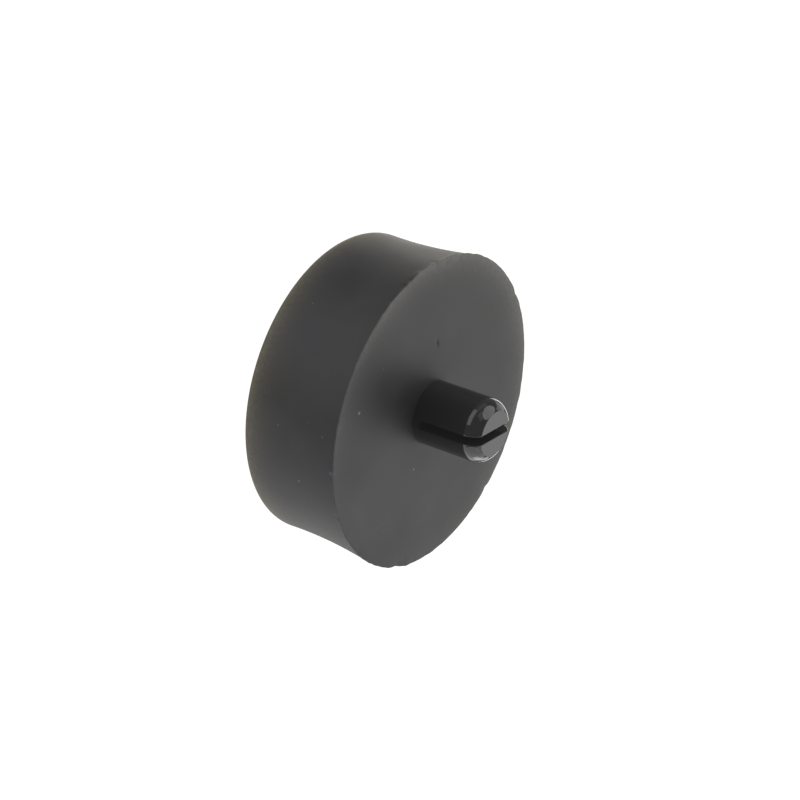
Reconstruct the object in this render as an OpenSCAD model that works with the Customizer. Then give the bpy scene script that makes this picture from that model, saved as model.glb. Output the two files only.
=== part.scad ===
// Push-in rubber foot: a moulded rubber body on a stiff split stud.
// The foot stands on its ground face with the stud pointing up, sizes in millimetres.

/* [Rubber body] */
// Diameter of the flat stud face, which goes against the panel
face_d = 25; // [20:0.5:40]
// Height of the body, from the ground face to the stud face
body_h = 9.1; // [8:0.1:14]
// How far the hollow side draws in from the stud face's edge, on each side
side_draw = 0.55; // [0.2:0.05:1.5]
// Height of the side's narrowest place above the ground face
waist_h = 2.3; // [1.6:0.1:4]
// Radius of the rounded edge round the ground face
ground_edge_r = 0.8; // [0.3:0.1:1.5]

/* [Stud] */
// Diameter of the shank, a little over the 5 mm panel hole that it is pushed into
stud_d = 5.1; // [4:0.05:5.8]
// Length of the straight shank above the stud face
shank_len = 4.6; // [2.5:0.05:8]
// Radius of the nose's rounded shoulder, above the shank
shoulder_r = 1.4; // [0.8:0.1:1.9]
// Diameter of the flat end that cuts the shoulder off
end_d = 3.65; // [2.4:0.05:4.2]

/* [Slit] */
// Width of the slit that lets the two prongs close up in the panel hole
slit_w = 0.7; // [0.4:0.05:1.4]
// Height of the slit's floor above the stud face
slit_floor = 0.6; // [0.2:0.1:2]

/* [Moulded-in head] */
// Diameter of the stud's head inside the rubber
head_d = 12; // [8:0.5:16]
// Thickness of the head
head_t = 1.8; // [1:0.1:3]
// Thickness of the rubber between the head and the stud face
head_cover = 2.5; // [1.5:0.1:4]
// Diameter of the root where it leaves the head, before it tapers to the shank
root_d = 6.6; // [6:0.1:7.5]

/* [Hidden] */
$fn = 128;
// Steps in the full circle that the side's shallow arc is a small part of
side_arc_fn = 720;
face_r = face_d / 2;
stud_r = stud_d / 2;

// The side is one shallow arc that bulges inwards. It passes through the stud face's edge
// and is upright at the waist.
waist_r = face_r - side_draw;
side_rise = body_h - waist_h;
side_arc_r = (side_rise * side_rise + side_draw * side_draw) / (2 * side_draw);
side_arc_x = waist_r + side_arc_r;

// The ground edge is an arc that runs smoothly into the ground face and the side's arc. It
// stands out by a hair, so that it crosses the side's arc instead of only touching it.
edge_hair = 0.002;
edge_reach = side_arc_r + ground_edge_r;
edge_rise = waist_h - ground_edge_r;
edge_x = side_arc_x - sqrt(edge_reach * edge_reach - edge_rise * edge_rise) + edge_hair;
edge_top = ground_edge_r + ground_edge_r * edge_rise / edge_reach;

// The nose's shoulder is an arc that runs smoothly out of the shank. The flat end cuts it off
// before it is level, so a crease goes round the end.
shank_top = body_h + shank_len;
shoulder_x = stud_r - shoulder_r;
end_run = max(0, end_d / 2 - shoulder_x);
nose_rise = sqrt(shoulder_r * shoulder_r - end_run * end_run);
nose_top = shank_top + nose_rise;

// The head lies between these two heights.
head_top = body_h - head_cover;
head_bottom = head_top - head_t;

// Spare length by which a cut runs out past a surface, and the shank runs down into the root
spare = 1;

// Half of the body's section, to the right of the axis
module body_section() {
    square([edge_x, body_h]);
    translate([edge_x, ground_edge_r])
        circle(r = ground_edge_r);
    difference() {
        translate([0, edge_top])
            square([side_arc_x, body_h - edge_top]);
        translate([side_arc_x, waist_h])
            circle(r = side_arc_r, $fn = side_arc_fn);
    }
}

// Half of the section of the shank and the nose, to the right of the axis. Both are one
// profile, so that no seam is left between them.
module stud_section() {
    translate([0, body_h - spare])
        square([stud_r, shank_len + spare]);
    translate([0, shank_top])
        square([shoulder_x, nose_rise]);
    translate([shoulder_x, shank_top])
        intersection() {
            circle(r = shoulder_r);
            square([shoulder_r, nose_rise]);
        }
}

// Diameter of the tapering root at a height; it equals the shank's at the stud face
function root_d_at(z) = root_d - (root_d - stud_d) * (z - head_top) / head_cover;

// The head and the root above it, which ends at a height
module headed_root(end_z) {
    translate([0, 0, head_bottom])
        cylinder(d = head_d, h = head_t);
    translate([0, 0, head_top])
        cylinder(d1 = root_d, d2 = root_d_at(end_z), h = end_z - head_top);
}

module rubber_body() {
    color("#4b4b4d")
    difference() {
        rotate_extrude()
            body_section();
        headed_root(body_h + spare);
    }
}

module split_stud() {
    color("#161618")
    difference() {
        union() {
            headed_root(body_h);
            rotate_extrude()
                stud_section();
        }
        slit();
    }
}

// The slit runs along Y, right across the nose and down the shank
module slit() {
    slit_bottom = body_h + slit_floor;
    slit_length = stud_d + 2 * spare;
    translate([-slit_w / 2, -slit_length / 2, slit_bottom])
        cube([slit_w, slit_length, nose_top + spare - slit_bottom]);
}

rubber_body();
split_stud();
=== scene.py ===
# A push-in rubber foot: a moulded rubber body on a glossy black split stud.
# It stands on its ground face with the stud pointing up, in metres.
import bpy
import bmesh
import math
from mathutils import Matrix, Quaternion, Vector, noise


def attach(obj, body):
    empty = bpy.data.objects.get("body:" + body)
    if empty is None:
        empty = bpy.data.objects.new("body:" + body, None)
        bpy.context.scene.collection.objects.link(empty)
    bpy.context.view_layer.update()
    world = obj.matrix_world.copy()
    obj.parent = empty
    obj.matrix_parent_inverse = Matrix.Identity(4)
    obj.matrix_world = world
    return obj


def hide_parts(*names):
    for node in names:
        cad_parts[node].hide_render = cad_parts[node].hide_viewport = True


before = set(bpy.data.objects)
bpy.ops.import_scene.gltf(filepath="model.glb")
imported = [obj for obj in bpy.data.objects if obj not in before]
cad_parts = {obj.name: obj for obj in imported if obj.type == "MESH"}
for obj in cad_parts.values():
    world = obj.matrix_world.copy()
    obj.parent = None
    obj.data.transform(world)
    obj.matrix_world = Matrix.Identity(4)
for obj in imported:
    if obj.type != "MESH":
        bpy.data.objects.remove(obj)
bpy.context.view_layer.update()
mm = 0.001
print("rubber foot: frame loaded")


def hexToLinear(code):
    channels = [int(code[i:i + 2], 16) / 255 for i in (1, 3, 5)]
    return [c / 12.92 if c <= 0.04045 else ((c + 0.055) / 1.055) ** 2.4 for c in channels]


def addNode(tree, kind, settings=None, links=None):
    # settings go to the node's own attributes or to its inputs, links join sockets to its inputs
    node = tree.nodes.new(kind)
    for name, value in (settings or {}).items():
        if isinstance(name, str) and hasattr(node, name):
            setattr(node, name, value)
        else:
            node.inputs[name].default_value = value
    for name, socket in (links or {}).items():
        tree.links.new(socket, node.inputs[name])
    return node


def newMaterial(name):
    material = bpy.data.materials.new(name)
    material.use_nodes = True
    material.node_tree.nodes.clear()
    return material, material.node_tree


def placeObject(name, data):
    placed = bpy.data.objects.new(name, data)
    bpy.context.scene.collection.objects.link(placed)
    return placed


def placeMesh(name, bm):
    mesh = bpy.data.meshes.new(name)
    bm.to_mesh(mesh)
    bm.free()
    return placeObject(name, mesh)


def blendBetween(low, high, value):
    # 0 below low, 1 above high, smooth between them
    t = min(1, max(0, (value - low) / (high - low)))
    return t * t * (3 - 2 * t)


# Sizes of the foot, as in the construction model, in millimetres
foot = {
    "faceR": 12.5, "bodyH": 9.1, "sideDraw": 0.55, "waistH": 2.3, "groundEdgeR": 0.8,
    "studR": 2.55, "shankLen": 4.6, "shoulderR": 1.4, "endR": 1.825,
    "slitW": 0.7, "slitFloor": 0.6,
    "headR": 6.0, "headT": 1.8, "headCover": 2.5, "rootR": 3.3,
}
headTop = foot["bodyH"] - foot["headCover"]
headBottom = headTop - foot["headT"]


# Camera, where the photograph was taken from
cameraLook = {
    "azimuth": -29.46,        # degrees round the foot
    "elevation": 31.31,       # degrees above the floor
    "roll": 109.26,           # the photograph shows the foot lying on its side
    "lens": 133.8, "sensor": 36.0,   # mm
    "distance": 227.5,        # mm along the view axis to the stud face's middle
    "facePixel": (432.24, 411.89),   # where that middle lies in the photograph
    "imageSize": 800,         # pixels across the photograph
    "clipStart": 0.01, "clipEnd": 20.0,   # m
}


def makeCamera(look):
    data = bpy.data.cameras.new("studioCamera")
    data.lens = look["lens"]
    data.sensor_width = look["sensor"]
    data.clip_start = look["clipStart"]
    data.clip_end = look["clipEnd"]
    camera = placeObject("studioCamera", data)
    a, e = math.radians(look["azimuth"]), math.radians(look["elevation"])
    back = Vector((math.sin(a) * math.cos(e), -math.cos(a) * math.cos(e), math.sin(e)))
    turn = (-back).to_track_quat("-Z", "Y") @ Quaternion((0, 0, 1), math.radians(look["roll"]))
    # the stud face's middle has to land on its pixel
    focalPixels = look["lens"] / look["sensor"] * look["imageSize"]
    reach = look["distance"] * mm
    right, down = [(p - look["imageSize"] / 2) * reach / focalPixels for p in look["facePixel"]]
    faceMiddle = Vector((0, 0, foot["bodyH"] * mm))
    camera.rotation_mode = "QUATERNION"
    camera.rotation_quaternion = turn
    camera.location = faceMiddle - turn @ Vector((right, -down, -reach))
    bpy.context.scene.camera = camera


makeCamera(cameraLook)
print("camera placed")


# Studio: a pale glowing table, soft lights and a dim room
studio = {
    "roomColour": "#ffffff", "roomStrength": 0.23,
    "tableSize": 3.0,          # m across
    "tableBase": "#404040", "tableRough": 0.9,
    "tableGlow": "#fffefb", "tableGlowStrength": 1.05,
    "blackLift": 0.0085,       # stray light in the photograph's lens, relative to white paper
    "lightDistance": 0.9,      # m from the foot
    # name, shape, azimuth from +X towards +Y, elevation, width and height in metres, radiance
    # relative to white paper, and colour
    "lights": [
        ("rightSoftbox", "RECTANGLE", -10, 18, 1.25, 0.7, 1.21, "#ffffff"),
        ("rightLowSoftbox", "RECTANGLE", -10, -18, 1.25, 0.46, 1.24, "#ffffff"),
        ("rightUnderSoftbox", "RECTANGLE", 0, -42, 0.9, 0.35, 0.57, "#fffcf4"),
        ("rightStrip", "RECTANGLE", 22, 4, 0.6, 0.3, 1.97, "#ffffff"),
        ("farSoftbox", "RECTANGLE", 60, 30, 0.55, 0.6, 1.37, "#ffffff"),
        ("farLowSoftbox", "RECTANGLE", 75, -22, 0.9, 0.3, 1.85, "#fffcf4"),
        ("farUnderSoftbox", "RECTANGLE", 60, -40, 0.8, 0.35, 0.57, "#fffcf4"),
        ("farLeftSoftbox", "RECTANGLE", 96, 14, 0.45, 0.6, 0.93, "#ffffff"),
        ("farLeftUnderSoftbox", "RECTANGLE", 108, -36, 0.5, 0.35, 1.28, "#fffaee"),
        ("roundLamp", "DISK", 149, 41, 0.88, 0.88, 1.93, "#ffffff"),
        ("leftStrip", "RECTANGLE", 165, 2, 0.6, 0.3, 0.33, "#ffffff"),
        ("leftSoftbox", "RECTANGLE", -170, 35, 0.4, 0.6, 0.43, "#ffffff"),
        ("leftUnderSoftbox", "RECTANGLE", -168, -40, 0.6, 0.4, 0.6, "#ffffff"),
        ("leftCard", "RECTANGLE", -146, -11, 0.95, 0.4, 1.42, "#ffffff"),
        ("nearUnderSoftbox", "RECTANGLE", -119, -42, 0.7, 0.4, 1.35, "#fffbf4"),
        ("nearRightCard", "RECTANGLE", -65, -18, 0.5, 0.3, 3.2, "#ffffff"),
        ("overheadSoftbox", "RECTANGLE", 5, 57, 0.8, 0.6, 1.12, "#ffffff"),
    ],
}


def makeRoom(look):
    world = bpy.data.worlds.new("dimRoom")
    world.use_nodes = True
    bpy.context.scene.world = world
    background = world.node_tree.nodes["Background"]
    background.inputs["Color"].default_value = hexToLinear(look["roomColour"]) + [1]
    background.inputs["Strength"].default_value = look["roomStrength"]


def litOpalAcrylic(look):
    # opal acrylic sheet, cast and lit from under, reads as clean white paper without shadows
    material, tree = newMaterial("castOpalAcrylic")
    shader = addNode(tree, "ShaderNodeBsdfPrincipled", {
        "Base Color": hexToLinear(look["tableBase"]) + [1], "Roughness": look["tableRough"],
        "Specular IOR Level": 0.0,
        "Emission Color": hexToLinear(look["tableGlow"]) + [1],
        "Emission Strength": look["tableGlowStrength"]})
    addNode(tree, "ShaderNodeOutputMaterial", None, {"Surface": shader.outputs["BSDF"]})
    return material


def makeTable(look):
    half = look["tableSize"] / 2
    bm = bmesh.new()
    corners = ((-half, -half), (half, -half), (half, half), (-half, half))
    bm.faces.new([bm.verts.new((x, y, 0)) for x, y in corners])
    table = placeMesh("table", bm)
    table.data.materials.append(litOpalAcrylic(look))
    # the photograph's foot lies on its side, so its gloss shows lights below this table
    table.visible_glossy = False
    table.visible_shadow = False


def makeLights(look):
    for name, shape, azimuth, elevation, width, height, radiance, colour in look["lights"]:
        data = bpy.data.lights.new(name, "AREA")
        data.shape = shape
        data.size = width
        area = width * height
        if shape == "DISK":
            area *= math.pi / 4
        else:
            data.size_y = height
        data.energy = radiance * math.pi * area
        data.color = hexToLinear(colour)
        lamp = placeObject(name, data)
        a, e = math.radians(azimuth), math.radians(elevation)
        away = Vector((math.cos(a) * math.cos(e), math.sin(a) * math.cos(e), math.sin(e)))
        lamp.location = away * look["lightDistance"]
        lamp.rotation_mode = "QUATERNION"
        lamp.rotation_quaternion = away.to_track_quat("Z", "Y")
        lamp.visible_camera = False


makeRoom(studio)
makeTable(studio)
makeLights(studio)
# the photograph is developed plainly, and its blacks are lifted a little by stray light
display = bpy.context.scene.view_settings
display.view_transform = "Standard"
display.use_curve_mapping = True
display.curve_mapping.black_level = [-studio["blackLift"]] * 3
print("studio lit")


# Rubber body
rubber = {
    "around": 384,             # steps round the axis
    # steps along each stretch of the section, from under the foot round into the cavity
    "steps": {"ground": 18, "groundEdge": 14, "side": 62, "rim": 7, "face": 74,
              "taper": 4, "headTop": 3, "headSide": 3, "headBottom": 6},
    "sideCrowding": 1.25,      # above 1, the side's steps lie closer together near the rim
    "rimRound": 0.035,         # mm, the crisp moulded edge of the stud face
    "rimWobble": 0.035,        # mm, unevenness of that edge
    # its layers: detail, seed, and share outwards and upwards
    "rimLayers": [(9, 3.1, 0.6, 0.0), (30, 7.7, 1.0, 0.0), (17, 12.3, 0.0, 0.5)],
    "rimFadeDown": 0.7, "rimFadeIn": 0.9,      # mm, over which it dies away
    "flashOut": 0.045,         # mm, what the trimmed flash still stands out round that edge
    "flashLean": 0.03,         # mm, how much more it does towards flashSide, and less opposite
    "flashSide": 80.0,         # degrees from +X
    "flashDepth": 0.35,        # mm down the side and in over the face
    "faceWave": 0.012,         # mm, slow unevenness of the stud face, which sags by a share of it
    "faceSag": 0.6,
    "faceLayers": [(1.0, 4.5, 1.7), (0.4, 1.7, 5.2)],         # share, size in mm, seed
    "faceHoldIn": 0.5, "faceHoldOut": 1.0,     # mm from the stud and the edge, where it dies away
    "sideWave": 0.012,         # mm, the same of the side
    "sideLayers": [(1.0, 2.8, 4.0, 0.0), (0.35, 8.0, 1.6, 9.0)],   # share, detail, height, seed
    "sideHoldLow": 1.2, "sideHoldHigh": 0.8,   # mm from the ground and the edge
    # bumps and nicks along the edge: degrees from +X, width in degrees, outward and upward mm
    "rimMarks": [
        (172.0, 2.2, 0.10, 0.05), (167.5, 1.6, -0.06, -0.02), (-178.0, 1.2, -0.07, -0.04),
        (-168.0, 1.5, 0.06, 0.02), (-163.5, 1.0, -0.06, -0.04), (-160.0, 1.2, -0.08, -0.03),
        (-150.0, 1.6, 0.05, 0.02), (-145.0, 1.2, 0.07, 0.03), (-123.5, 1.8, -0.05, -0.02),
        (-103.5, 1.2, 0.04, 0.02), (-87.5, 1.0, 0.08, 0.03), (-17.5, 2.0, -0.08, -0.03),
        (-11.0, 1.8, 0.07, 0.03), (40.5, 1.5, -0.07, -0.03), (77.5, 2.0, 0.06, 0.02),
        (121.5, 1.4, -0.06, -0.04),
    ],
    # a small cut in the face: x, y, length, width and depth in mm, turn in degrees
    "faceCut": (-5.70, 0.18, 0.66, 0.27, 0.10, 23.5),
}


def spread(start, end, steps, power=1.0):
    # steps values from after start up to end, closer together near end when power is above 1
    return [end + (start - end) * (1 - (i + 1) / steps) ** power for i in range(steps)]


def bodySection():
    # the half section from the axis on the ground face round to the axis in the cavity, as
    # (radius, height, zone, sharp) with sharp for a corner
    waistR = foot["faceR"] - foot["sideDraw"]
    rise = foot["bodyH"] - foot["waistH"]
    arcR = (rise ** 2 + foot["sideDraw"] ** 2) / (2 * foot["sideDraw"])
    arcX = waistR + arcR
    steps, edgeR = rubber["steps"], foot["groundEdgeR"]
    reach, drop = arcR + edgeR, foot["waistH"] - edgeR
    edgeX = arcX - math.sqrt(reach ** 2 - drop ** 2)
    edgeTurn = math.asin(drop / reach)
    roundR = rubber["rimRound"]
    rimRise = foot["bodyH"] - roundR - foot["waistH"]
    rimX = arcX - math.sqrt((arcR + roundR) ** 2 - rimRise ** 2)
    rimTurn = -math.asin(rimRise / (arcR + roundR))
    sideTop = foot["waistH"] + rimRise * arcR / (arcR + roundR)

    section = [(r, 0.0, "ground", False) for r in spread(0, edgeX, steps["ground"])]
    for a in spread(-math.pi / 2, edgeTurn, steps["groundEdge"]):
        section.append((edgeX + edgeR * math.cos(a), edgeR + edgeR * math.sin(a), "side", False))
    edgeTop = section[-1][1]
    for z in spread(edgeTop, sideTop, steps["side"], rubber["sideCrowding"]):
        r = arcX - math.sqrt(arcR ** 2 - (z - foot["waistH"]) ** 2)
        section.append((r, z, "side", False))
    for a in spread(rimTurn, math.pi / 2, steps["rim"]):
        z = foot["bodyH"] - roundR + roundR * math.sin(a)
        section.append((rimX + roundR * math.cos(a), z, "face" if a == math.pi / 2 else "side", False))
    for r in spread(rimX, foot["studR"], steps["face"]):
        section.append((r, foot["bodyH"], "face", r == foot["studR"]))
    for r, z in zip(spread(foot["studR"], foot["rootR"], steps["taper"]),
                    spread(foot["bodyH"], headTop, steps["taper"])):
        section.append((r, z, "cavity", z == headTop))
    for r in spread(foot["rootR"], foot["headR"], steps["headTop"]):
        section.append((r, headTop, "cavity", r == foot["headR"]))
    for z in spread(headTop, headBottom, steps["headSide"]):
        section.append((foot["headR"], z, "cavity", z == headBottom))
    for r in spread(foot["headR"], 0, steps["headBottom"])[:-1]:
        section.append((r, headBottom, "cavity", False))
    return section


def rimShift(angle):
    # how far the stud face's edge strays outwards and upwards at an angle, in mm
    c, s = math.cos(angle), math.sin(angle)
    out = up = 0.0
    for detail, seed, outShare, upShare in rubber["rimLayers"]:
        wave = rubber["rimWobble"] * noise.noise(Vector((c * detail, s * detail, seed)))
        out += outShare * wave
        up += upShare * wave
    for degrees, width, outward, upward in rubber["rimMarks"]:
        gap = (math.degrees(angle) - degrees + 180) % 360 - 180
        if abs(gap) < 3 * width:
            share = math.exp(-(gap / width) ** 2)
            out += outward * share
            up += upward * share
    return out, up


def cutDepth(x, y):
    cx, cy, length, width, depth, turn = rubber["faceCut"]
    t = math.radians(turn)
    u = (x - cx) * math.cos(t) + (y - cy) * math.sin(t)
    v = -(x - cx) * math.sin(t) + (y - cy) * math.cos(t)
    return depth * math.exp(-(u / (length / 2)) ** 2 - (v / (width / 2)) ** 2)


def faceRise(x, y, r):
    wave = sum(share * noise.noise(Vector((x / size, y / size, seed)))
               for share, size, seed in rubber["faceLayers"])
    away = blendBetween(foot["studR"], foot["studR"] + rubber["faceHoldIn"], r)
    inside = blendBetween(0, rubber["faceHoldOut"], foot["faceR"] - r)
    return rubber["faceWave"] * (wave - rubber["faceSag"]) * away * inside - cutDepth(x, y)


def sideSwell(c, s, z):
    wave = sum(share * noise.noise(Vector((c * detail, s * detail, z / height + seed)))
               for share, detail, height, seed in rubber["sideLayers"])
    above = blendBetween(0, rubber["sideHoldLow"], z)
    below = blendBetween(0, rubber["sideHoldHigh"], foot["bodyH"] - z)
    return rubber["sideWave"] * wave * above * below


def placeBodyPoint(r, z, zone, angle, shift):
    c, s = math.cos(angle), math.sin(angle)
    if zone in ("ground", "cavity"):              # both stay true
        return Vector((r * c, r * s, z))
    # the edge's unevenness dies away down the side and in over the face
    down, inward = foot["bodyH"] - z, foot["faceR"] - r
    nearRim = 1 - blendBetween(0, rubber["rimFadeDown"], down)
    nearRim *= 1 - blendBetween(0, rubber["rimFadeIn"], inward)
    nearFlash = 1 - blendBetween(0, rubber["flashDepth"], max(down, inward))
    towards = math.cos(angle - math.radians(rubber["flashSide"]))
    out = shift[0] * nearRim + (rubber["flashOut"] + rubber["flashLean"] * towards) * nearFlash
    up = shift[1] * nearRim
    if zone == "face":
        up += faceRise(r * c, r * s, r)
    else:
        out += sideSwell(c, s, z)
    return Vector(((r + out) * c, (r + out) * s, z + up))


def makeRubberBody():
    section = bodySection()
    count = rubber["around"]
    bm = bmesh.new()
    angles = [2 * math.pi * i / count for i in range(count)]
    shifts = [rimShift(a) for a in angles]
    rings = []
    for r, z, zone, sharp in section:
        rings.append([bm.verts.new(placeBodyPoint(r, z, zone, a, shift) * mm)
                      for a, shift in zip(angles, shifts)])
    groundMiddle = bm.verts.new((0, 0, 0))
    cavityMiddle = bm.verts.new((0, 0, headBottom * mm))
    for i in range(count):
        j = (i + 1) % count
        bm.faces.new((groundMiddle, rings[0][j], rings[0][i]))
        bm.faces.new((rings[-1][i], rings[-1][j], cavityMiddle))
        for low, high in zip(rings, rings[1:]):
            bm.faces.new((low[i], low[j], high[j], high[i]))
    for ring, (r, z, zone, sharp) in zip(rings, section):
        if sharp:
            for i in range(count):
                bm.edges.get((ring[i], ring[(i + 1) % count])).smooth = False
    for face in bm.faces:
        face.smooth = True
    bmesh.ops.recalc_face_normals(bm, faces=bm.faces)
    return placeMesh("rubberFoot", bm)


rubberFinish = {
    "dark": "#0c0c0f", "cool": "#1b1c21", "warm": "#262320",   # carbon-black compound, clouded
    "cloudSize": 5.5, "tintSize": 9.35, "speckleSize": 0.35,   # mm
    "tintSeed": 4.2,
    "roughLow": 0.46, "roughHigh": 0.56, "ior": 1.5,
    "grainSize": 0.16, "grainDepth": 0.012,       # mm
    "grainStrength": 0.3,
    # pale dust that worn edges hold, and with it a painted highlight that lightens the side near
    # the ground: its share of the surface at the ground, the most that it covers there, and mm over
    # which it fades going up
    "groundDustHighlightTint": "#9d9478", "groundDustHighlight": 0.46, "groundDustHighlightMost": 0.22,
    "groundDustHighlightFade": 0.75,
    # the same in from the stud face's edge, a pale dust tint that paints a lighter highlight band
    # along
    # that edge: the side where it is strongest, in degrees from +X, and mm below the face where it
    # starts and where it is full
    "faceEdgeDustHighlightTint": "#9a978e", "faceEdgeDustHighlight": 0.33, "faceEdgeDustHighlightFade": 0.9,
    "faceEdgeDustHighlightSide": 135.0, "faceEdgeDustHighlightStart": 0.12, "faceEdgeDustHighlightFull": 0.02,
    "dustHighlightBreak": 0.25,                           # how far the speckle breaks it up
    # dust: a thin scatter of dots, one at most in each cell, and the specks that show, as
    # x, y, z and radius in mm, and how much they cover
    "dust": "#b9b6ae",
    "dotCell": 1.9, "dotInner": 0.02, "dotOuter": 0.045,       # mm, and radii in cells
    "dotChosen": 0.78, "dotCover": 0.14,          # cells above this have a dot
    "speckCore": 0.2,                             # share of a speck's radius that is full
    "specks": [
        (-3.23, -9.52, 9.10, 0.18, 0.34), (4.14, -2.07, 9.10, 0.15, 0.34),
        (0.73, -12.44, 8.83, 0.12, 0.14), (2.71, -11.75, 5.43, 0.14, 0.16),
        (-1.33, -11.88, 3.40, 0.10, 0.10), (-2.40, -11.88, 6.24, 0.10, 0.07),
        (-1.78, -12.17, 7.77, 0.10, 0.11),
    ],
}


def cloudedCharcoal(tree, look, place, clouds):
    # from the compound's dark to a grey that turns between cool and warm
    tints = addNode(tree, "ShaderNodeTexNoise", {
        "Scale": 1 / (look["tintSize"] * mm), "Detail": 1.0, "noise_dimensions": "4D",
        "W": look["tintSeed"]}, {"Vector": place})
    cloudShare = addNode(tree, "ShaderNodeMapRange", {
        "From Min": 0.35, "From Max": 0.65}, {"Value": clouds})
    tintShare = addNode(tree, "ShaderNodeMapRange", {
        "From Min": 0.42, "From Max": 0.68}, {"Value": tints.outputs["Fac"]})
    grey = addNode(tree, "ShaderNodeMix", {
        "data_type": "RGBA", 6: hexToLinear(look["cool"]) + [1], 7: hexToLinear(look["warm"]) + [1]},
        {0: tintShare.outputs[0]})
    charcoal = addNode(tree, "ShaderNodeMix", {
        "data_type": "RGBA", 6: hexToLinear(look["dark"]) + [1]},
        {0: cloudShare.outputs[0], 7: grey.outputs[2]})
    return charcoal.outputs[2]


def groundDustHighlightShare(tree, look, parts):
    # pale dust tint and painted highlight, fading upwards from the ground
    height = addNode(tree, "ShaderNodeMath", {
        "operation": "MULTIPLY", 1: -1 / (look["groundDustHighlightFade"] * mm)}, {0: parts.outputs["Z"]})
    nearGround = addNode(tree, "ShaderNodeMath", {"operation": "EXPONENT"}, {0: height.outputs[0]})
    share = addNode(tree, "ShaderNodeMath", {
        "operation": "MULTIPLY", 1: look["groundDustHighlight"]}, {0: nearGround.outputs[0]})
    return addNode(tree, "ShaderNodeMath", {
        "operation": "MINIMUM", 1: look["groundDustHighlightMost"]}, {0: share.outputs[0]}).outputs[0]


def faceEdgeDustHighlightShare(tree, look, parts):
    # painted highlight with a dust tint: a lighter band along the face's edge, strongest towards one
    # side
    flat = addNode(tree, "ShaderNodeCombineXYZ", None,
                   {"X": parts.outputs["X"], "Y": parts.outputs["Y"]})
    radius = addNode(tree, "ShaderNodeVectorMath", {"operation": "LENGTH"}, {0: flat.outputs[0]})
    inwards = addNode(tree, "ShaderNodeMath", {
        "operation": "MULTIPLY_ADD", 1: 1 / (look["faceEdgeDustHighlightFade"] * mm),
        2: -foot["faceR"] / look["faceEdgeDustHighlightFade"]}, {0: radius.outputs["Value"]})
    nearEdge = addNode(tree, "ShaderNodeMath", {"operation": "EXPONENT"}, {0: inwards.outputs[0]})
    side = math.radians(look["faceEdgeDustHighlightSide"])
    towards = addNode(tree, "ShaderNodeVectorMath", {
        "operation": "DOT_PRODUCT", 1: (math.cos(side), math.sin(side), 0)}, {0: flat.outputs[0]})
    sideShare = addNode(tree, "ShaderNodeMapRange", {
        "From Min": -foot["faceR"] * mm, "From Max": foot["faceR"] * mm,
        "To Max": look["faceEdgeDustHighlight"]}, {"Value": towards.outputs["Value"]})
    onFace = addNode(tree, "ShaderNodeMapRange", {
        "From Min": (foot["bodyH"] - look["faceEdgeDustHighlightStart"]) * mm,
        "From Max": (foot["bodyH"] - look["faceEdgeDustHighlightFull"]) * mm}, {"Value": parts.outputs["Z"]})
    share = addNode(tree, "ShaderNodeMath", {"operation": "MULTIPLY"},
                    {0: nearEdge.outputs[0], 1: sideShare.outputs[0]})
    return addNode(tree, "ShaderNodeMath", {"operation": "MULTIPLY"},
                   {0: share.outputs[0], 1: onFace.outputs[0]}).outputs[0]


def dustAndPaintedHighlightEdges(tree, look, place, colour):
    # mixes a pale dust tint into the colour near the ground and along the stud face's edge, which also
    # paints a highlight there
    speckle = addNode(tree, "ShaderNodeTexNoise", {
        "Scale": 1 / (look["speckleSize"] * mm), "Detail": 3.0, "Roughness": 0.6}, {"Vector": place})
    broken = addNode(tree, "ShaderNodeMapRange", {
        "From Min": 0.3, "From Max": 0.7,
        "To Min": 1 - look["dustHighlightBreak"], "To Max": 1 + look["dustHighlightBreak"]},
        {"Value": speckle.outputs["Fac"]})
    parts = addNode(tree, "ShaderNodeSeparateXYZ", None, {"Vector": place})
    for share, tint in ((groundDustHighlightShare(tree, look, parts), look["groundDustHighlightTint"]),
                        (faceEdgeDustHighlightShare(tree, look, parts), look["faceEdgeDustHighlightTint"])):
        uneven = addNode(tree, "ShaderNodeMath", {"operation": "MULTIPLY"},
                         {0: share, 1: broken.outputs[0]})
        colour = addNode(tree, "ShaderNodeMix", {
            "data_type": "RGBA", 7: hexToLinear(tint) + [1]},
            {0: uneven.outputs[0], 6: colour}).outputs[2]
    return colour


def dusted(tree, look, place, colour):
    cells = addNode(tree, "ShaderNodeTexVoronoi", {
        "Scale": 1 / (look["dotCell"] * mm)}, {"Vector": place})
    dot = addNode(tree, "ShaderNodeMapRange", {
        "From Min": look["dotInner"], "From Max": look["dotOuter"], "To Min": 1.0, "To Max": 0.0},
        {"Value": cells.outputs["Distance"]})
    chance = addNode(tree, "ShaderNodeSeparateXYZ", None, {"Vector": cells.outputs["Color"]})
    few = addNode(tree, "ShaderNodeMapRange", {
        "From Min": look["dotChosen"], "From Max": 1.0, "To Max": look["dotCover"]},
        {"Value": chance.outputs["X"]})
    share = addNode(tree, "ShaderNodeMath", {"operation": "MULTIPLY"},
                    {0: dot.outputs[0], 1: few.outputs[0]}).outputs[0]
    for x, y, z, size, cover in look["specks"]:
        gap = addNode(tree, "ShaderNodeVectorMath", {
            "operation": "DISTANCE", 1: (x * mm, y * mm, z * mm)}, {0: place})
        speck = addNode(tree, "ShaderNodeMapRange", {
            "From Min": look["speckCore"] * size * mm, "From Max": size * mm,
            "To Min": cover, "To Max": 0.0}, {"Value": gap.outputs["Value"]})
        share = addNode(tree, "ShaderNodeMath", {"operation": "MAXIMUM"},
                        {0: share, 1: speck.outputs[0]}).outputs[0]
    return addNode(tree, "ShaderNodeMix", {
        "data_type": "RGBA", 7: hexToLinear(look["dust"]) + [1]},
        {0: share, 6: colour}).outputs[2]


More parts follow.
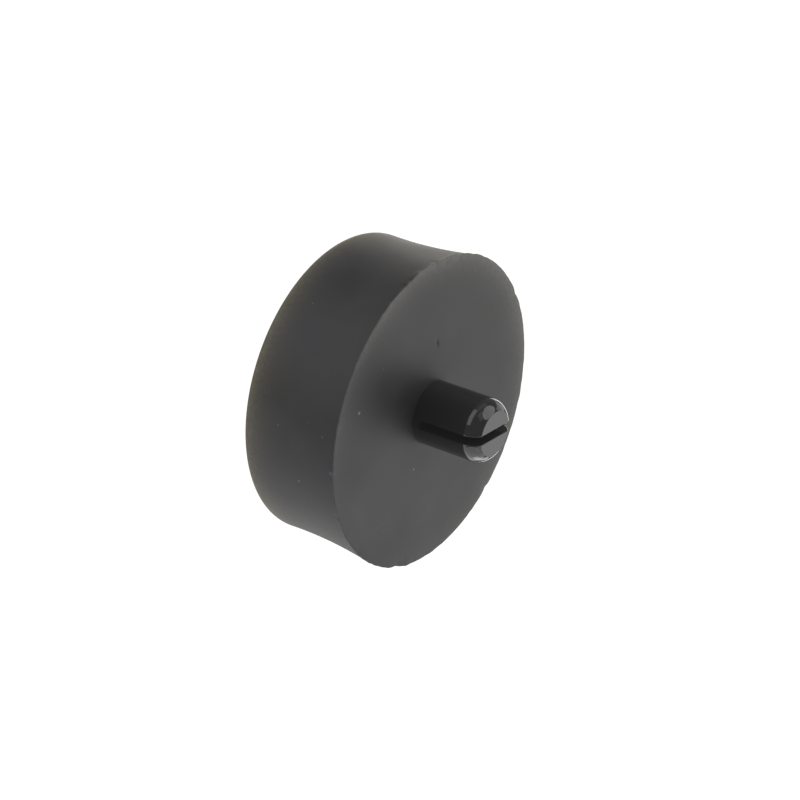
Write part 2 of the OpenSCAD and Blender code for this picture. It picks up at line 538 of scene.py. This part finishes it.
def mouldedRubber(look):
    # EPDM rubber filled with carbon black, compression moulded: a charcoal that is matte but
    # catches a soft grey sheen at low angles, with faint clouding, a little dust, and pale edges that
    # are partly dust and partly a painted highlight
    material, tree = newMaterial("mouldedEpdmRubber")
    place = addNode(tree, "ShaderNodeTexCoord").outputs["Object"]
    clouds = addNode(tree, "ShaderNodeTexNoise", {
        "Scale": 1 / (look["cloudSize"] * mm), "Detail": 2.0, "Roughness": 0.5},
        {"Vector": place}).outputs["Fac"]
    colour = cloudedCharcoal(tree, look, place, clouds)
    colour = dustAndPaintedHighlightEdges(tree, look, place, colour)
    colour = dusted(tree, look, place, colour)
    rough = addNode(tree, "ShaderNodeMapRange", {
        "From Min": 0.3, "From Max": 0.7, "To Min": look["roughLow"], "To Max": look["roughHigh"]},
        {"Value": clouds})
    # the real grain is a few hundredths of a millimetre, drawn coarser so that it shows
    grain = addNode(tree, "ShaderNodeTexNoise", {
        "Scale": 1 / (look["grainSize"] * mm), "Detail": 3.0, "Roughness": 0.6}, {"Vector": place})
    bump = addNode(tree, "ShaderNodeBump", {
        "Strength": look["grainStrength"], "Distance": look["grainDepth"] * mm},
        {"Height": grain.outputs["Fac"]})
    shader = addNode(tree, "ShaderNodeBsdfPrincipled", {"IOR": look["ior"]},
                     {"Base Color": colour, "Roughness": rough.outputs[0],
                      "Normal": bump.outputs["Normal"]})
    addNode(tree, "ShaderNodeOutputMaterial", None, {"Surface": shader.outputs["BSDF"]})
    return material


rubberFoot = makeRubberBody()
rubberFoot.data.materials.append(mouldedRubber(rubberFinish))
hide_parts("rubber_body")
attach(rubberFoot, "root")
print("rubber body made, faces:", len(rubberFoot.data.polygons))


# Split stud
stud = {
    "slitEdgeR": 0.06,         # mm, rounding along the slit's edges
    "endEdgeR": 0.07,          # mm, rounding of the crease round the nose's flat end
    "collarRing": 0.3,         # mm above the stud face, a ring in the round part of the shank
    # steps round a prong's outside, round a slit edge, along a slit wall and across its mouth
    "outerSteps": 44, "edgeSteps": 4, "wallSteps": 12, "mouthSteps": 6,
    "shankRings": 12, "noseRings": 20, "endRings": 5,   # rings up the prong, stretch by stretch
}
straightUp = Vector((0, 0, 1))


def prongLevels():
    # (radius, height, tilt from straight up) from the slit's floor to the nose's flat end
    floor = foot["bodyH"] + foot["slitFloor"]
    shankTop = foot["bodyH"] + foot["shankLen"]
    levels = [(foot["studR"], floor, math.pi / 2)]
    levels += [(foot["studR"], z, math.pi / 2) for z in spread(floor, shankTop, stud["shankRings"])]
    # the shoulder runs out of the shank, and a small rounding leads from it into the flat end
    shoulderR, shoulderX = foot["shoulderR"], foot["studR"] - foot["shoulderR"]
    rise = math.sqrt(shoulderR ** 2 - (foot["endR"] - shoulderX) ** 2)
    reach, climb = shoulderR - stud["endEdgeR"], rise - stud["endEdgeR"]
    endX = shoulderX + math.sqrt(reach ** 2 - climb ** 2)
    crease = math.acos(climb / reach)
    for p in spread(math.pi / 2, crease, stud["noseRings"]):
        levels.append((shoulderX + shoulderR * math.sin(p), shankTop + shoulderR * math.cos(p), p))
    for p in spread(crease, 0, stud["endRings"]):
        levels.append((endX + stud["endEdgeR"] * math.sin(p),
                       shankTop + climb + stud["endEdgeR"] * math.cos(p), p))
    return levels


def prongRing(r, z, p):
    # points and directions round one level of the +X prong: outer arc, slit edge, slit wall, slit edge
    edgeR = stud["slitEdgeR"]
    n = Vector((math.sin(p), 0, math.cos(p)))
    centreR, centreZ = r - edgeR * n.x, z - edgeR * n.z
    centreX = foot["slitW"] / 2 + edgeR
    turn = math.acos(min(1, centreX / centreR))
    centreY = centreR * math.sin(turn)
    outer, edge, wall = [], [], []
    for i in range(stud["outerSteps"] + 1):
        t = turn * (2 * i / stud["outerSteps"] - 1)
        outer.append((Vector((r * math.cos(t), r * math.sin(t), z)),
                      Vector((n.x * math.cos(t), n.x * math.sin(t), n.z))))
    first, second = outer[-1][1], Vector((-1, 0, 0))
    whole = first.angle(second)
    centre = Vector((centreX, centreY, centreZ))
    for i in range(1, stud["edgeSteps"] + 1):
        t = whole * i / stud["edgeSteps"]
        d = (first * math.sin(whole - t) + second * math.sin(t)) / math.sin(whole)
        edge.append((centre + d * edgeR, d))
    for i in range(1, stud["wallSteps"] + 1):
        y = centreY * (1 - 2 * i / stud["wallSteps"])
        wall.append((Vector((foot["slitW"] / 2, y, centreZ)), second))
    back = [(Vector((q.x, -q.y, q.z)), Vector((d.x, -d.y, d.z))) for q, d in reversed(edge[:-1])]
    return outer + edge + wall + back


def addFace(bm, normals, points):
    # points are (vertex, direction); a repeated vertex is left out
    kept = [q for i, q in enumerate(points) if q[0] is not points[i - 1][0]]
    if len(kept) > 2:
        bm.faces.new([q[0] for q in kept])
        normals.extend(q[1] for q in kept)


def addBand(bm, normals, low, high):
    # low and high are closed rings of (vertex, direction)
    for i in range(len(low)):
        j = (i + 1) % len(low)
        addFace(bm, normals, [low[i], low[j], high[j], high[i]])


def closeFlatEnd(bm, normals, ring):
    # a rounded edge along the slit, in columns from the disc down to the wall, then the disc
    outerCount, edgeCount, wallCount = stud["outerSteps"] + 1, stud["edgeSteps"], stud["wallSteps"]
    outer, inner = ring[:outerCount], ring[outerCount - 1:]
    wall = inner[edgeCount:edgeCount + wallCount + 1]
    columns = [inner[:edgeCount + 1]]
    for q, d in wall[1:-1]:
        along = Vector((0, q.co.y - wall[0][0].co.y, 0))
        columns.append([(bm.verts.new(p.co + along), e) for p, e in columns[0][:-1]] + [(q, d)])
    columns.append(([wall[-1]] + inner[edgeCount + wallCount + 1:] + [outer[0]])[::-1])
    for near, far in zip(columns, columns[1:]):
        for i in range(edgeCount):
            addFace(bm, normals, [near[i], near[i + 1], far[i + 1], far[i]])
    addFace(bm, normals, outer + [column[0] for column in columns[1:-1]])


def makeProng(bm, normals, side):
    # side is 1 for the prong towards +X and -1 for the other; its lowest ring comes back
    rings = []
    for r, z, tilt in prongLevels():
        rings.append([(bm.verts.new(Vector((side * q.x, side * q.y, q.z)) * mm),
                       Vector((side * d.x, side * d.y, d.z))) for q, d in prongRing(r, z, tilt)])
    for low, high in zip(rings, rings[1:]):
        addBand(bm, normals, low, high)
    closeFlatEnd(bm, normals, rings[-1])
    return rings[0]


def laySlitFloor(bm, normals, feet):
    # rungs from one prong's wall to the other's, with round ends at the slit's mouths
    floor, steps = foot["bodyH"] + foot["slitFloor"], stud["mouthSteps"]
    right, left = [ring[stud["outerSteps"]:] + ring[:1] for ring in feet]
    left = left[::-1]                             # now both go from the +Y mouth to the -Y mouth
    rungs = []
    for k, (a, b) in enumerate(zip(right, left)):
        rung = [a[0]]
        for i in range(1, steps):
            place = a[0].co.lerp(b[0].co, i / steps) / mm
            if k in (0, len(right) - 1):          # an end lies on the shank's circle
                place.z = 0
                place = place.normalized() * foot["studR"]
                place.z = floor
            rung.append(bm.verts.new(place * mm))
        rungs.append(rung + [b[0]])
    for near, far in zip(rungs, rungs[1:]):
        for i in range(steps):
            corners = (near[i], near[i + 1], far[i + 1], far[i])
            addFace(bm, normals, [(q, straightUp) for q in corners])
    return rungs


def makeAnchor(bm, normals, loop):
    # the full round below the slit, then the root and the head inside the rubber
    around = [Vector((q.co.x, q.co.y, 0)).normalized() for q in loop]
    taper = Vector((foot["headCover"], foot["rootR"] - foot["studR"])).normalized()
    studR, rootR, headR, bodyH = [foot[k] for k in ("studR", "rootR", "headR", "bodyH")]
    shankHeights = (bodyH + foot["slitFloor"], bodyH + stud["collarRing"], bodyH)
    # each span between two creases is a list of (radius, height, outward and upward normal)
    spans = [
        [(studR, h, 1.0, 0.0) for h in shankHeights],
        [(studR, bodyH, taper.x, taper.y), (rootR, headTop, taper.x, taper.y)],
        [(rootR, headTop, 0.0, 1.0), (headR, headTop, 0.0, 1.0)],
        [(headR, headTop, 1.0, 0.0), (headR, headBottom, 1.0, 0.0)],
        [(headR, headBottom, 0.0, -1.0), (headR / 2, headBottom, 0.0, -1.0)],
    ]
    current = loop
    for span in spans:
        for upper, lower in zip(span, span[1:]):
            below = [bm.verts.new((d * lower[0] + straightUp * lower[1]) * mm) for d in around]
            high = [(q, d * upper[2] + straightUp * upper[3]) for q, d in zip(current, around)]
            low = [(q, d * lower[2] + straightUp * lower[3]) for q, d in zip(below, around)]
            addBand(bm, normals, low, high)
            current = below
    middle = bm.verts.new((0, 0, headBottom * mm))
    for i in range(len(current)):
        corners = (current[(i + 1) % len(current)], current[i], middle)
        addFace(bm, normals, [(q, -straightUp) for q in corners])


def makeSplitStud():
    bm = bmesh.new()
    normals = []                                  # one for each face corner, in order
    feet = [makeProng(bm, normals, side) for side in (1, -1)]
    rungs = laySlitFloor(bm, normals, feet)
    # the loop round the slit's floor: one prong, a mouth, the other prong and the other mouth
    right, left = [[q[0] for q in ring[:stud["outerSteps"] + 1]] for ring in feet]
    makeAnchor(bm, normals, right + rungs[0][1:-1] + left + rungs[-1][-2:0:-1])
    for face in bm.faces:
        face.smooth = True
    piece = placeMesh("splitStud", bm)
    piece.data.normals_split_custom_set([tuple(d) for d in normals])
    return piece


nylonFinish = {
    "black": "#181819", "grey": "#1c1c1d",
    "roughLow": 0.07, "roughHigh": 0.13, "ior": 1.53,
    "cloudSize": 1.4, "peelSize": 0.9, "peelDepth": 0.02,      # mm
    "peelStrength": 0.25,
}


def mouldedNylon(look):
    # black nylon, injection moulded in a polished tool: a deep black with clear, slightly
    # uneven reflections, as the plastic draws in a little while it sets
    material, tree = newMaterial("mouldedBlackNylon")
    place = addNode(tree, "ShaderNodeTexCoord").outputs["Object"]
    clouds = addNode(tree, "ShaderNodeTexNoise", {
        "Scale": 1 / (look["cloudSize"] * mm), "Detail": 3.0}, {"Vector": place})
    base = addNode(tree, "ShaderNodeMix", {
        "data_type": "RGBA", 6: hexToLinear(look["black"]) + [1], 7: hexToLinear(look["grey"]) + [1]},
        {0: clouds.outputs["Fac"]})
    rough = addNode(tree, "ShaderNodeMapRange", {
        "From Min": 0.3, "From Max": 0.7, "To Min": look["roughLow"], "To Max": look["roughHigh"]},
        {"Value": clouds.outputs["Fac"]})
    peel = addNode(tree, "ShaderNodeTexNoise", {
        "Scale": 1 / (look["peelSize"] * mm), "Detail": 1.0}, {"Vector": place})
    bump = addNode(tree, "ShaderNodeBump", {
        "Strength": look["peelStrength"], "Distance": look["peelDepth"] * mm},
        {"Height": peel.outputs["Fac"]})
    shader = addNode(tree, "ShaderNodeBsdfPrincipled", {"IOR": look["ior"]},
                     {"Base Color": base.outputs[2], "Roughness": rough.outputs[0],
                      "Normal": bump.outputs["Normal"]})
    addNode(tree, "ShaderNodeOutputMaterial", None, {"Surface": shader.outputs["BSDF"]})
    return material


splitStud = makeSplitStud()
splitStud.data.materials.append(mouldedNylon(nylonFinish))
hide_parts("split_stud")
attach(splitStud, "root")
print("split stud made, faces:", len(splitStud.data.polygons))
